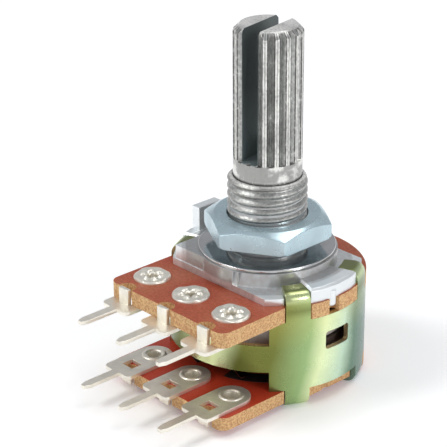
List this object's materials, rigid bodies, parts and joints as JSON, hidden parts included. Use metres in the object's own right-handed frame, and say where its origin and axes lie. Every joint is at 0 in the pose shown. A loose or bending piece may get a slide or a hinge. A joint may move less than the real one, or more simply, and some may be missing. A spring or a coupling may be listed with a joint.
{
  "type": "rotary potentiometer",
  "caption": "Dual-gang panel-mount rotary potentiometer with split fluted shaft, threaded bushing, nut, washer, open steel housing and solder-pin wafers.",
  "frame": {"origin": "on the shaft axis in the mounting face, the plane where the washer lies on the cast plate", "axes": "+Z along the shaft towards its fluted grip; the solder pins point along -Y, side by side along X"},
  "size_m": [0.0174, 0.0259, 0.0318],
  "materials": {
    "die_cast_zinc": "as-cast zinc alloy, satin with fine grain",
    "blue_zinc_plate": "blue-bright zinc plating",
    "bright_steel": "polished",
    "green_chromate": "yellow-green iridescent chromate over zinc plating",
    "phenolic_board": "red-brown phenolic paper laminate with rough cut edges",
    "tinned_terminal": "tin plated, satin",
    "carbon_ink": "printed resistive ink",
    "silver_ink": "printed conductive ink",
    "shaft_metal": "turned and knurled, bright",
    "grey_moulding": "moulded",
    "black_moulding": "moulded",
    "spring_bronze": "rolled spring strip"
  },
  "bodies": {
    "housing": {"bushing_plate": "die_cast_zinc", "hex_nut": "blue_zinc_plate", "flat_washer": "bright_steel", "housing_shell": "green_chromate", "front_wafer": "phenolic_board", "rear_wafer": "phenolic_board", "front_terminal_left": "tinned_terminal", "front_terminal_centre": "tinned_terminal", "front_terminal_right": "tinned_terminal", "rear_terminal_left": "tinned_terminal", "rear_terminal_centre": "tinned_terminal", "rear_terminal_right": "tinned_terminal", "front_track": "carbon_ink", "rear_track": "carbon_ink", "front_collector": "silver_ink", "rear_collector": "silver_ink"},
    "rotor": {"shaft": "shaft_metal", "retaining_ring": "bright_steel", "front_rotor": "grey_moulding", "rear_rotor": "black_moulding", "front_wiper": "spring_bronze", "rear_wiper": "spring_bronze"}
  },
  "joints": [
    {"name": "shaft_rotation", "type": "hinge", "parent": "housing", "child": "rotor", "pos_m": [0, 0, 0], "axis": [0, 0, 1], "range_deg": [-160.4, 139.6]}
  ]
}
